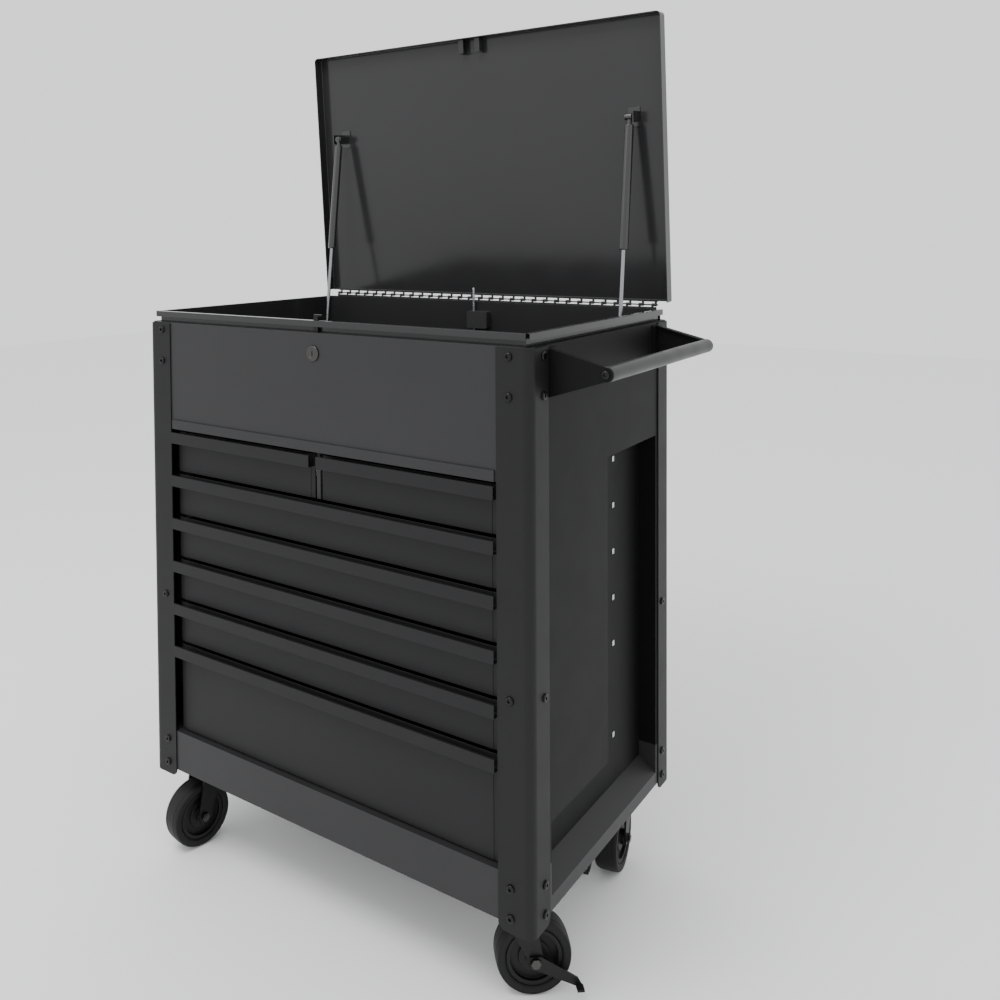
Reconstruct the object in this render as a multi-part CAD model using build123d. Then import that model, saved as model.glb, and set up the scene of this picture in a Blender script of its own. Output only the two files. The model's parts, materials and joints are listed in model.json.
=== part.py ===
"""Rolling tool chest: steel cabinet with seven drawers, a flip-up top and four casters.

Millimetres, +Z up, X to the right seen from the front, the front faces -Y.
The origin is on the floor under the middle of the cabinet.
"""

import math
import os

from build123d import *

# ---------------------------------------------------------------- driving dimensions
cabinet_width = 890.0  # over the corner posts
cabinet_depth = 564.0  # over the corner posts
post_top = 1078.0
post_length = 925.0
post_front_leg = 63.0
post_side_leg = 57.0
post_sheet = 2.5
post_bend = 16.0
post_corner_radius = 12.0

sheet = 1.0  # cabinet panels
skin_bend = 15.5  # panel corners, inside the posts' bend
drawer_sheet = 0.9
slide_sheet = 1.2

base_bottom = 166.0  # underside of the base pan
base_top = 246.0  # top of the base pan's floor
rail_face = 25.0  # upright strip along the bottom of each side
recess_bottom = 217.0
field_bottom = 310.0
field_back = 0.0  # y where the raised side field ends
field_step = 1.5
recess_depth = 37.0  # from the posts' outer face
recess_half = 216.0  # half length of the side recess along y
cross_plate_width = 125.0
cross_plate_sheet = 2.5

panel_top = 1080.0  # top of the front and side panels
back_top = 1094.0
front_hem_bottom = 866.0
front_hem_height = 18.0
front_hem_stand = 3.0
band_bottom = 859.0  # lower edge of the upper side band

tray_floor = 868.0
tray_wall_inset = 17.5  # tray wall behind the posts' outer face, sides
tray_wall_inset_y = 17.0
rim_top = 1101.0
rim_width = 9.0
rim_height = 11.0
rim_notch = 5.0

screw_inset = 40.0  # from the post's outer edge
screw_drops = (13.0, 76.0, 553.0, 853.0, 901.0)  # below the post top
screw_shank = 3.0
screw_hole = 3.2
screw_head = 7.0
screw_head_height = 3.6
screw_reach = 6.0

row_top = 862.0  # gap line over the first drawer row
row_pitch = 87.0
thin_rows = 5
row_gap = 6.0
drawer_face_inset = 14.0  # behind the posts' front face
drawer_front_half = 376.0
lip_half = 378.0
lip_height = 22.0
lip_stand = 18.0
lip_sheet = 1.5
lip_hem = 4.5
face_margin = 10.0
box_back = 245.0
box_floor_rise = 4.0
box_side_drop = 12.0
box_hem = 5.0
deep_side_height = 150.0
divider_half = 4.5
divider_gap = 4.0

slide_face = 381.0  # outer members' backs, from the middle
slide_stack = 15.0
slide_height = 38.0
slide_front = -262.0
slide_length = 500.0
slide_drop = 29.0  # slide centre under the gap line of a thin row
deep_slide_drop = 116.0
ball_gap = 2.2
tab_y = 93.0
tab_width = 8.0
tab_height = 10.0
tab_clear = 0.4
column_width = 40.0
front_column_y = -205.0

pin_y = 283.1
pin_z = 1108.0
pin_radius = 1.5
knuckle_radius = 3.2
knuckle_length = 5.0
knuckle_pitch = 27.5
knuckle_count = 31
running_clearance = 0.05
lid_angle = 86.0  # how far the lid stands open
lid_half = 445.0
lid_front = -295.0
lid_back = 276.0
lid_top = 1122.0
lid_skirt = 25.0
lid_back_skirt_bottom = 1112.0
leaf_top = 1104.0  # body leaf of the hinge, between its knuckles
lid_leaf_reach = 10.0  # how far the lid leaf runs past the pin

strut_x = 378.0
strut_low = (185.0, 990.0)  # y, z of the lower pivot
strut_high = (243.0, 1484.0)  # y, z of the upper pivot with the lid open
cylinder_length = 266.0
cylinder_radius = 9.0
cylinder_bore = 7.5
strut_rod_radius = 4.0
piston_radius = 7.35
eye_radius = 8.0
eye_width = 12.0

lock_z = 1043.0
bezel_radius = 14.0
barrel_radius = 11.0
plug_radius = 8.0
latch_travel = 8.0
plunger_y = 255.0
plunger_radius = 2.5
plunger_top = 1133.0
plunger_length = 120.0

handle_y = 223.6
handle_reach = 97.0  # grip centre out from the posts' outer face
handle_z = 1040.0
grip_radius = 12.5
bracket_sheet = 2.5
bracket_tip = 11.0
bracket_root_top = 1075.0
bracket_root_bottom = 996.0
bracket_flange = 24.0

wheel_radius = 63.5
wheel_width = 45.0
rim_radius = 47.0
hub_radius = 14.0
axle_radius = 5.0
caster_inset_x = 80.0
caster_inset_y = 75.0
caster_trail = 32.0
fork_gap = 25.0  # wheel centre to the inside of a fork leg
fork_sheet = 3.5
plate_length = 95.0
plate_width = 80.0
plate_sheet = 4.0
race_radius = 30.0
race_height = 5.0
kingpin_radius = 6.0
caster_turns = {  # which way each caster trails, degrees from +X
    "front_left": -100.0,
    "rear_left": -95.0,
    "front_right": 40.0,
    "rear_right": -80.0,
}
braked = ("front_right", "rear_right")
pedal_sheet = 3.0

# ---------------------------------------------------------------- derived places
half_width = cabinet_width / 2
half_depth = cabinet_depth / 2
post_bottom = post_top - post_length
skin_x = half_width - post_sheet  # outside of the side panels
skin_y = half_depth - post_sheet  # outside of the front and back panels
recess_x = half_width - recess_depth  # outside of the recessed side wall
tray_x = half_width - tray_wall_inset
tray_y = half_depth - tray_wall_inset_y
face_y = -half_depth + drawer_face_inset
flat_x = skin_x - skin_bend  # where a panel's flat ends and its corner bend starts
flat_y = skin_y - skin_bend
screw_heights = [post_top - drop for drop in screw_drops]
row_lines = [row_top - row_pitch * i for i in range(thin_rows + 1)] + [base_top]
grip_x = half_width + handle_reach


# ---------------------------------------------------------------- small helpers
def block(x0, x1, y0, y1, z0, z1):
    """A box between two corners."""
    size = Box(abs(x1 - x0), abs(y1 - y0), abs(z1 - z0))
    return Pos((x0 + x1) / 2, (y0 + y1) / 2, (z0 + z1) / 2) * size


def bar(axis, radius, low, high, a, b):
    """A round bar along one axis from low to high, centred on the two other coordinates."""
    middle = (low + high) / 2
    turned = {"x": Rot(0, 90, 0), "y": Rot(90, 0, 0), "z": Rot(0, 0, 0)}[axis]
    place = {"x": (middle, a, b), "y": (a, middle, b), "z": (a, b, middle)}[axis]
    return Pos(*place) * turned * Cylinder(radius, abs(high - low))


def plate_xz(points, y0, y1):
    """A flat plate with an outline in X and Z, between two y."""
    face = Plane.XZ * make_face(Polyline(*points, close=True))
    return Pos(0, max(y0, y1), 0) * extrude(face, abs(y1 - y0))


def mirrored(shape):
    """The same shape on the other side of the cabinet."""
    return mirror(shape, about=Plane.YZ)


def group(shapes):
    """Several solids as one compound."""
    return Compound([solid for shape in shapes for solid in shape.solids()])


# ---------------------------------------------------------------- screws and their holes
def screw_places():
    """Every post screw as (x, y, z, outward x, outward y)."""
    places = []
    for sx in (-1, 1):
        for sy in (-1, 1):
            for z in screw_heights:
                places.append((sx * (half_width - screw_inset), sy * half_depth, z, 0, sy))
                places.append((sx * half_width, sy * (half_depth - screw_inset), z, sx, 0))
    return places


def screw_cut(place):
    """The hole for one screw."""
    x, y, z, nx, ny = place
    reach = screw_reach + 2
    if nx:
        return bar("x", screw_hole, x - nx * reach, x + nx, y, z)
    return bar("y", screw_hole, y - ny * reach, y + ny, x, z)


def with_screw_holes(shape, low_z, high_z, wanted):
    """Cut the holes of the screws that pass through this sheet."""
    cuts = [screw_cut(p) for p in screw_places() if low_z < p[2] < high_z and wanted(p)]
    return shape - cuts if cuts else shape


def button_screw(x, y, z, nx, ny):
    """A button-head screw with a hexagon socket."""
    head = Pos(0, 0, screw_head_height / 2) * Cylinder(screw_head, screw_head_height)
    head = fillet(head.edges().group_by(Axis.Z)[-1], screw_head_height * 0.7)
    shank = Pos(0, 0, -screw_reach / 2) * Cylinder(screw_shank, screw_reach)
    socket = Pos(0, 0, screw_head_height - 2.2) * extrude(RegularPolygon(2.9, 6), 4)
    screw = head + shank - socket
    return Plane(origin=(x, y, z), z_dir=(nx, ny, 0)) * screw


def body_screws():
    """All the button-head screws of the posts and the handle."""
    screws = [button_screw(*place) for place in screw_places()]
    for sy in (-1, 1):
        end = sy * (handle_y + bracket_sheet / 2)
        screws.append(button_screw(grip_x, end, handle_z, 0, sy))
    return group(screws)


# ---------------------------------------------------------------- cabinet
def corner_post(sx, sy):
    """An angle cover with a wide bend, bolted over one corner."""
    def leg_section(shift, radius):
        face = Pos(-post_front_leg / 2, -post_side_leg / 2)
        face = face * Rectangle(post_front_leg, post_side_leg)
        corner = face.vertices().sort_by_distance((0, 0, 0))[0]
        return Pos(-shift, -shift) * fillet(corner, radius)

    section = leg_section(0, post_bend) - leg_section(post_sheet, post_bend - post_sheet)
    post = extrude(section, post_length)
    low = post.edges().group_by(Axis.Z)[0]
    free = [low.filter_by(Axis.Y).sort_by(Axis.X)[0], low.filter_by(Axis.X).sort_by(Axis.Y)[0]]
    post = fillet(free, post_corner_radius)
    post = Pos(half_width, half_depth, post_bottom) * post
    if sx < 0:
        post = mirrored(post)
    if sy < 0:
        post = mirror(post, about=Plane.XZ)
    return with_screw_holes(
        post, post_bottom, post_top, lambda p: p[0] * sx > 0 and p[1] * sy > 0
    )


def corner_bend(sx, sy, z0, z1):
    """The quarter-round bend that joins two panel flats inside a post."""
    middle = Pos(sx * flat_x, sy * flat_y, (z0 + z1) / 2)
    ring = middle * (Cylinder(skin_bend, z1 - z0) - Cylinder(skin_bend - sheet, z1 - z0))
    return ring & block(sx * flat_x, sx * skin_x, sy * flat_y, sy * skin_y, z0, z1)


def side_panel():
    """The right side: one pressed sheet with an upper band, a raised field and a recess."""
    inner = skin_x - sheet
    low = recess_x - sheet
    field = skin_x - field_step
    end = recess_half + sheet
    pieces = [
        block(inner, skin_x, -flat_y, flat_y, band_bottom, panel_top),
        block(tray_x, skin_x, -flat_y, flat_y, panel_top - sheet, panel_top),
        block(low, skin_x, -end, end, band_bottom, band_bottom + sheet),
        block(field - sheet, field, -recess_half, field_back, field_bottom, band_bottom),
        block(low, field, field_back - sheet, field_back, field_bottom, band_bottom),
        block(low, field, -recess_half, field_back, field_bottom, field_bottom + sheet),
        block(low, recess_x, field_back - sheet, recess_half, recess_bottom, band_bottom),
        block(low, recess_x, -recess_half, field_back, recess_bottom, field_bottom + sheet),
    ]
    for sy in (-1, 1):
        low_y, high_y = sy * recess_half, sy * end
        pieces.append(block(inner, skin_x, low_y, sy * flat_y, base_top, band_bottom))
        pieces.append(block(low, skin_x, low_y, high_y, base_top, band_bottom))
    lip_in = half_width - post_front_leg + 2
    pieces.append(block(lip_in, flat_x, -skin_y, sheet - skin_y, base_top, front_hem_bottom))
    pieces.append(corner_bend(1, -1, base_top, front_hem_bottom))
    panel = pieces[0].fuse(*pieces[1:])
    panel = with_screw_holes(panel, base_top, panel_top, lambda p: p[0] > 0)
    for z in slide_heights():
        panel -= tab_slot(z, recess_x)
    return panel


def tab_slot(z, outer):
    """The slot for one slide tab, cut in from outside."""
    half_y = tab_width / 2 + tab_clear
    half_z = tab_height / 2 + tab_clear
    return block(slide_face - 1, outer + 2, tab_y - half_y, tab_y + half_y, z - half_z, z + half_z)


def back_panel():
    """The flat rear sheet."""
    panel = block(-flat_x, flat_x, skin_y - sheet, skin_y, base_top, back_top)
    for sx in (-1, 1):
        panel += corner_bend(sx, 1, base_top, panel_top)
    return with_screw_holes(panel, base_top, back_top, lambda p: p[4] > 0)


def base_pan():
    """Floor, plinth and side rails, pressed from one sheet, with two caster cross plates."""
    rail = skin_x - sheet
    low = recess_x - 2 * sheet
    strip_top = base_bottom + rail_face
    pieces = [
        block(-low - sheet, low + sheet, -skin_y, skin_y, base_top - sheet, base_top),
        block(-flat_x, flat_x, -skin_y, sheet - skin_y, base_bottom, base_top),
        block(-flat_x, flat_x, skin_y - sheet, skin_y, base_bottom, base_top),
    ]
    slope = [
        (skin_x, strip_top),
        (recess_x, recess_bottom),
        (low, recess_bottom),
        (low, recess_bottom - sheet),
        (skin_x - sheet, strip_top - sheet),
    ]
    plate_in = rail - cross_plate_width
    for sx in (-1, 1):
        outline = [(sx * x, z) for x, z in slope]
        pieces += [
            plate_xz(outline, -recess_half, recess_half),
            block(sx * rail, sx * skin_x, -flat_y, flat_y, base_bottom, strip_top),
            block(sx * low, sx * (low + sheet), -skin_y, skin_y, recess_bottom - sheet, base_top),
            block(sx * plate_in, sx * rail, -flat_y, flat_y, base_bottom,
                  base_bottom + cross_plate_sheet),
        ]
        for sy in (-1, 1):
            start, stop = sy * recess_half, sy * (recess_half + sheet)
            pieces.append(block(sx * low, sx * skin_x, start, stop, base_bottom, base_top))
            pieces.append(block(sx * rail, sx * skin_x, start, sy * flat_y, base_bottom, base_top))
            pieces.append(block(sx * low, sx * flat_x, start, sy * skin_y, base_top - sheet, base_top))
            pieces.append(corner_bend(sx, sy, base_bottom, base_top))
    pan = pieces[0].fuse(*pieces[1:])
    return with_screw_holes(pan, base_bottom, base_top, lambda p: True)


def front_panel():
    """The fixed panel over the drawers, with a hem along its foot and the lock hole."""
    panel = block(-flat_x, flat_x, -skin_y, sheet - skin_y, front_hem_bottom, panel_top)
    for sx in (-1, 1):
        panel += corner_bend(sx, -1, front_hem_bottom, panel_top)
    panel += block(-tray_x, tray_x, -skin_y, -tray_y, panel_top - sheet, panel_top)
    panel += block(
        -lip_half, lip_half, -skin_y - front_hem_stand, -skin_y,
        front_hem_bottom, front_hem_bottom + front_hem_height,
    )
    panel += block(
        -lip_half, lip_half, -skin_y, -tray_y, front_hem_bottom, front_hem_bottom + sheet
    )
    panel -= bar("y", barrel_radius + 0.1, -skin_y - 5, -skin_y + 5, 0, lock_z)
    panel -= latch_slot(panel_top)
    return with_screw_holes(panel, front_hem_bottom, panel_top, lambda p: p[4] < 0)


def latch_slot(z):
    """The slot that the latch hook stands up through."""
    y0 = -tray_y - rim_width + sheet + 0.2
    return block(-7, 16 + latch_travel, y0, -tray_y - 1.0, z - 3, z + 3)


def top_tray():
    """The open compartment under the lid, with a rolled rim."""
    x, y = tray_x, tray_y
    tray = block(-x, x, -y, y, tray_floor, rim_top)
    tray -= block(sheet - x, x - sheet, sheet - y, y - sheet, tray_floor + sheet, rim_top + 1)
    wide_x, wide_y = x + rim_width, y + rim_width
    rim = block(-wide_x, wide_x, -wide_y, wide_y, rim_top - rim_height, rim_top)
    rim = fillet(rim.edges().group_by(Axis.Z)[-1], sheet * 0.9)
    rim -= block(-x, x, -y, y, rim_top - rim_height - 1, rim_top + 1)
    inside_x, inside_y = wide_x - sheet, wide_y - sheet
    under = block(
        -inside_x, inside_x, -inside_y, inside_y, rim_top - rim_height - 1, rim_top - sheet
    )
    rim -= under - block(-x, x, -y, y, rim_top - rim_height - 2, rim_top)
    for sx in (-1, 1):
        for sy in (-1, 1):
            rim -= block(
                sx * (wide_x - rim_notch), sx * (wide_x + 1),
                sy * (wide_y - rim_notch), sy * (wide_y + 1), rim_top - 20, rim_top + 1,
            )
    return tray + rim - latch_slot(rim_top)


def drawer_divider():
    """The upright sheet between the two half-width drawers."""
    low, high = row_lines[1] + row_gap / 2, front_hem_bottom
    top = tray_floor
    wall = block(-divider_half, divider_half, face_y, slide_front + slide_length, low, high)
    core = block(
        slide_sheet - divider_half, divider_half - slide_sheet,
        face_y + slide_sheet, slide_front + slide_length + 1, low - 1, high + 1,
    )
    cap = block(-divider_half * 3, divider_half * 3, -tray_y, box_back, high, top)
    return wall - core + cap


# ---------------------------------------------------------------- slides and drawers
def slide_heights():
    """Centre height of the slides of each row."""
    heights = [row_lines[i] - slide_drop for i in range(thin_rows)]
    return heights + [row_lines[thin_rows] - deep_slide_drop]


def slide_pair(kind, face, way, z, tab=False):
    """One slide member; face is where the fixed member backs on, way points to the drawer."""
    t = slide_sheet
    reach = {
        "outer": (0.0, t, 0.0, 9.5, slide_height),
        "middle": (5.4, 5.4 + t, 2.2, 11.5, slide_height - 2 * (t + ball_gap)),
        "inner": (slide_stack - t, slide_stack, 7.8, slide_stack,
                  slide_height - 4 * (t + ball_gap)),
    }[kind]
    web0, web1, flange0, flange1, height = reach
    y0, y1 = slide_front, slide_front + slide_length
    if kind == "inner":
        y1 = box_back
    member = block(face + way * web0, face + way * web1, y0, y1, z - height / 2, z + height / 2)
    for s in (-1, 1):
        edge = z + s * height / 2
        member += block(
            face + way * flange0, face + way * flange1, y0, y1, edge, edge - s * t
        )
    if tab:
        member += block(
            face, face - way * (recess_x + 1.5 - slide_face),
            tab_y - tab_width / 2, tab_y + tab_width / 2, z - tab_height / 2, z + tab_height / 2,
        )
    return member


def slide_places(half=0):
    """Where the slides of a drawer back on: (face, way) at its left and its right."""
    if half < 0:
        return (-slide_face, 1), (-divider_half, -1)
    if half > 0:
        return (divider_half, 1), (slide_face, -1)
    return (-slide_face, 1), (slide_face, -1)


def slide_columns():
    """Upright channels inside the side panels that carry the slides."""
    top, low = tray_floor, base_top
    columns = []
    for y, back in ((front_column_y, skin_x - field_step - sheet), (tab_y, recess_x - sheet)):
        y0, y1 = y - column_width / 2, y + column_width / 2
        column = block(slide_face, back, y0, y1, low, band_bottom)
        core = block(slide_face + slide_sheet, back + 1, y0 + slide_sheet, y1 - slide_sheet,
                     low - 1, top)
        column -= core
        if y == tab_y:
            column = column - [tab_slot(z, slide_face) for z in slide_heights()]
        else:
            stub = block(recess_x - sheet, back + 1, y0 - 1, y1 + 1, low - 1,
                         field_bottom + sheet)
            column -= stub
        columns += [column, mirrored(column)]
    return group(columns)


def slide_outer_members():
    """The fixed members of every slide; the tabs show through the side panels."""
    members = []
    for row, z in enumerate(slide_heights()):
        members.append(slide_pair("outer", slide_face, -1, z, tab=True))
        members.append(slide_pair("outer", -slide_face, 1, z, tab=True))
        if row == 0:
            members.append(slide_pair("outer", divider_half, 1, z))
            members.append(slide_pair("outer", -divider_half, -1, z))
    return group(members)


def drawer(row, half=0):
    """A drawer: sheet box, front with a full-width pull lip, and its inner slide members."""
    z0 = row_lines[row + 1] + row_gap / 2
    z1 = row_lines[row] - row_gap / 2
    if half == 0:
        face0, face1, lip0, lip1 = -drawer_front_half, drawer_front_half, -lip_half, lip_half
    else:
        near = divider_half + divider_gap
        spans = sorted((half * near, half * drawer_front_half))
        face0, face1 = spans
        lip0, lip1 = sorted((half * near, half * lip_half))
    t = drawer_sheet
    left, right = slide_places(half)
    box0 = left[0] + left[1] * slide_stack
    box1 = right[0] + right[1] * slide_stack
    front = face_y + t
    floor = z0 + box_floor_rise
    side_top = floor + deep_side_height if row == thin_rows else z1 - box_side_drop
    pieces = [
        block(face0 + face_margin, face1 - face_margin, face_y, front, z0, z1),
        block(face0, face0 + face_margin + 1, front, front + t, z0, z1),
        block(face1 - face_margin - 1, face1, front, front + t, z0, z1),
        block(face0, face1, front, front + 8, z0, z0 + t),
        block(lip0, lip1, face_y - lip_stand, front + t, z1 - lip_height, z1 - lip_height + lip_sheet),
        block(lip0, lip1, face_y - lip_stand, face_y - lip_stand + lip_sheet, z1 - lip_height, z1),
        block(lip0, lip1, face_y - lip_stand, face_y - lip_stand + lip_hem, z1 - lip_sheet, z1),
        block(box0, box1, front, box_back, floor, floor + t),
        block(box0, box0 + t, front, box_back, floor, side_top),
        block(box1 - t, box1, front, box_back, floor, side_top),
        block(box0, box1, box_back - t, box_back, floor, side_top),
        block(box0, box0 + box_hem, front, box_back, side_top - t, side_top),
        block(box1 - box_hem, box1, front, box_back, side_top - t, side_top),
        block(box0, box1, front, front + t, floor, side_top),
    ]
    z = slide_heights()[row]
    inner = [slide_pair("inner", face, way, z) for face, way in (left, right)]
    return group([pieces[0].fuse(*pieces[1:]), *inner])


def slide_middle_members(row, half=0):
    """The two travelling members between a drawer and the cabinet."""
    z = slide_heights()[row]
    return group([slide_pair("middle", face, way, z) for face, way in slide_places(half)])


# ---------------------------------------------------------------- lid and hinge
def opened(shape):
    """Turn a shape that is drawn with the lid shut to where it stands with the lid open."""
    return Pos(0, pin_y, pin_z) * Rot(-lid_angle, 0, 0) * Pos(0, -pin_y, -pin_z) * shape


def lid():
    """A shallow pan with a folded skirt and an inward hem."""
    low = lid_top - lid_skirt
    pan = block(-lid_half, lid_half, lid_front, lid_back, low, lid_top)
    corners = pan.edges().filter_by(Axis.Z).group_by(Axis.Y)[0]
    pan = fillet(corners, 9.0)
    pan = fillet(pan.edges().group_by(Axis.Z)[-1], 2.5)
    core = block(sheet - lid_half, lid_half - sheet, lid_front + sheet, lid_back - sheet,
                 low - 1, lid_top - sheet)
    core = fillet(core.edges().filter_by(Axis.Z).group_by(Axis.Y)[0], 9.0 - sheet)
    core = fillet(core.edges().group_by(Axis.Z)[-1], 1.5)
    pan -= core
    pan -= block(-lid_half + 3, lid_half - 3, lid_back - 3, lid_back + 3, low - 1,
                 lid_back_skirt_bottom)
    hem = 2 * sheet
    for sx in (-1, 1):
        pan += block(sx * (lid_half - sheet), sx * (lid_half - hem), lid_front + 12,
                     lid_back - 6, low, low + 6)
    pan += block(12 - lid_half, lid_half - 12, lid_front + sheet, lid_front + hem, low, low + 6)
    return opened(pan)


def knuckle_spans(side):
    """X spans of the knuckles of one leaf; side is -1 for the body and 1 for the lid."""
    middle = (knuckle_count - 1) / 2
    gap = 0.2
    for i in range(knuckle_count):
        x = (i - middle) * knuckle_pitch
        yield tuple(sorted((x + side * gap, x + side * (gap + knuckle_length))))


def hinge_leaf(side):
    """One leaf of the piano hinge, drawn with the lid shut."""
    reach = (knuckle_count - 1) / 2 * knuckle_pitch + knuckle_length + 1
    r = knuckle_radius
    if side < 0:
        leaf = block(-reach, reach, skin_y, skin_y + slide_sheet, panel_top, leaf_top)
    else:
        leaf = block(-reach, reach, lid_back, lid_back + slide_sheet, pin_z + r - slide_sheet,
                     pin_z + lid_leaf_reach)
    pieces = []
    for x0, x1 in knuckle_spans(side):
        if side < 0:
            pieces.append(block(x0, x1, pin_y - r, pin_y - r + slide_sheet, leaf_top - 2, pin_z))
        else:
            pieces.append(block(x0, x1, lid_back, pin_y, pin_z + r - slide_sheet, pin_z + r))
        pieces.append(bar("x", r, x0, x1, pin_y, pin_z))
    leaf = leaf.fuse(*pieces)
    return leaf - bar("x", pin_radius + running_clearance, -reach - 5, reach + 5, pin_y, pin_z)


def hinge_pin():
    """The long wire that the lid turns on."""
    reach = (knuckle_count - 1) / 2 * knuckle_pitch + knuckle_length + 3
    return bar("x", pin_radius, -reach, reach, pin_y, pin_z)


def lid_catch():
    """The bracket inside the lid that the latch hook holds."""
    t = 1.5
    top = lid_top - sheet
    low = rim_top + 3
    y0, y1 = lid_front + sheet + 1.5, lid_front + sheet + 31.5
    half = 27.5
    catch = block(-half, half, y0, y1, top - t, top)
    for sx in (-1, 1):
        catch += block(sx * half, sx * (half - t), y0, y1, low, top)
    catch += block(half - 13, half, y0, y1, low, low + t)
    catch += block(-half, 13 - half, y0, y1, low, low + t)
    return opened(catch)


# ---------------------------------------------------------------- gas struts
def strut_axis():
    """Open length and the unit direction from the upper to the lower pivot."""
    dy, dz = strut_low[0] - strut_high[0], strut_low[1] - strut_high[1]
    length = math.hypot(dy, dz)
    return length, (0, dy / length, dz / length)


def along_strut(shape, side):
    """Place a shape drawn down +Z from the upper pivot onto one strut's line."""
    _, direction = strut_axis()
    place = Plane(origin=(side * strut_x, *strut_high), x_dir=(1, 0, 0), z_dir=direction)
    return place * shape


def tube_along(radius, start, stop):
    """A round bar on local Z."""
    return Pos(0, 0, (start + stop) / 2) * Cylinder(radius, stop - start)


def strut_cylinder(side):
    """The thick upper tube of a gas strut, with its eye, on the right (1) or left (-1)."""
    eye = bar("x", eye_radius, -eye_width / 2, eye_width / 2, 0, 0)
    body = tube_along(cylinder_radius, 16, cylinder_length)
    body = fillet(body.edges(), 2.0)
    shape = eye + tube_along(5, 4, 18) + body
    shape -= tube_along(cylinder_bore, 22, cylinder_length - 9)
    gland = strut_rod_radius + running_clearance
    shape -= tube_along(gland, cylinder_length - 12, cylinder_length + 2)
    shape -= bar("x", 4 + running_clearance, -eye_width, eye_width, 0, 0)
    return along_strut(shape, side)


def strut_rod(side):
    """The bright lower rod with its piston and end eye, on the right (1) or left (-1)."""
    length, _ = strut_axis()
    shape = tube_along(strut_rod_radius, cylinder_length - 24, length)
    shape += tube_along(piston_radius, cylinder_length - 24, cylinder_length - 15)
    shape += tube_along(6.0, length - 18, length - 4)
    shape += bar("x", eye_radius, -eye_width / 2, eye_width / 2, 0, length)
    return along_strut(shape, side)


def strut_upper_studs():
    """Brackets on the lid with the studs that the strut eyes turn on."""
    stud = bar("x", 4.0, strut_x - eye_width / 2 - 2, strut_x + 11, *strut_high)
    stud += bar("x", 6.5, strut_x - eye_width / 2 - 3.5, strut_x - eye_width / 2 - 0.5, *strut_high)
    angle = math.radians(lid_angle)
    dy, dz = strut_high[0] - pin_y, strut_high[1] - pin_z
    shut_y = pin_y + dy * math.cos(angle) - dz * math.sin(angle)
    shut_z = pin_z + dy * math.sin(angle) + dz * math.cos(angle)
    top = lid_top - sheet
    wing = block(strut_x + 9, strut_x + 11, shut_y - 11, shut_y + 11, shut_z - 9, top)
    foot = block(strut_x - 14, strut_x + 11, shut_y - 20, shut_y + 20, top - 2, top)
    bracket = opened(wing + foot) + stud
    return group([bracket, mirrored(bracket)])


def strut_lower_studs():
    """Brackets on the tray's side walls; the rod eyes stop just short of them."""
    wall = tray_x - sheet
    y, z = strut_low
    bracket = block(wall - 2, wall, y - 20, y + 20, z - 18, z + 18)
    bracket += block(strut_x + 12, wall, y - 9, y + 9, z - 9, z - 6)
    bracket += block(strut_x + 10, strut_x + 12, y - 9, y + 9, z - 9, z + 9)
    bracket += bar("x", 5.0, strut_x + eye_width / 2 + 0.4, strut_x + 11, y, z)
    return group([bracket, mirrored(bracket)])


# ---------------------------------------------------------------- lock
def lock_housing():
    """Round bezel and barrel through the front panel."""
    front = -skin_y - 3.0
    bezel = bar("y", bezel_radius, front, -skin_y, 0, lock_z)
    bezel = fillet(bezel.edges().sort_by(Axis.Y)[0], 1.2)
    housing = bezel + bar("y", barrel_radius, -skin_y, -skin_y + 5.5, 0, lock_z)
    return housing - bar("y", plug_radius + running_clearance, front - 1, -skin_y + 8, 0, lock_z)


def lock_plug():
    """The turning plug with a key slot and a cam behind the panel."""
    front = -skin_y - 2.6
    plug = bar("y", plug_radius, front, -skin_y + 6.2, 0, lock_z)
    plug -= block(-1.0, 1.0, front - 1, front + 4, lock_z - 4.5, lock_z + 4.5)
    cam = block(-22, 5, -skin_y + 6.0, -skin_y + 7.4, lock_z - 5, lock_z + 5)
    return plug + cam


def latch_hook():
    """The sliding hook that the cam pushes under the lid catch."""
    y0, y1 = -skin_y + 8.0, -skin_y + 12.0
    z1 = rim_top + 11
    hook = block(-5, 5, y0, y1, lock_z - 15, z1)
    return hook + block(5, 13, y0, y1, z1 - 3.5, z1)


def lock_rod():
    """The bright plunger at the back that the closing lid pushes down to lock the drawers."""
    low = plunger_top - plunger_length
    rod = bar("z", plunger_radius, low, plunger_top, 0, plunger_y)
    rod = fillet(rod.edges().group_by(Axis.Z)[-1], 1.5)
    return rod + bar("z", 5, low, low + 3, 0, plunger_y)


def lock_rod_guide():
    """The block on the tray's back wall that guides the plunger."""
    wall = tray_y - sheet
    guide = block(-14, 38, plunger_y - 8, wall, lock_z, lock_z + 38)
    guide = fillet(guide.edges().filter_by(Axis.Y), 4)
    guide -= bar("z", plunger_radius + running_clearance, lock_z - 1, lock_z + 60, 0, plunger_y)
    return guide


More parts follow.
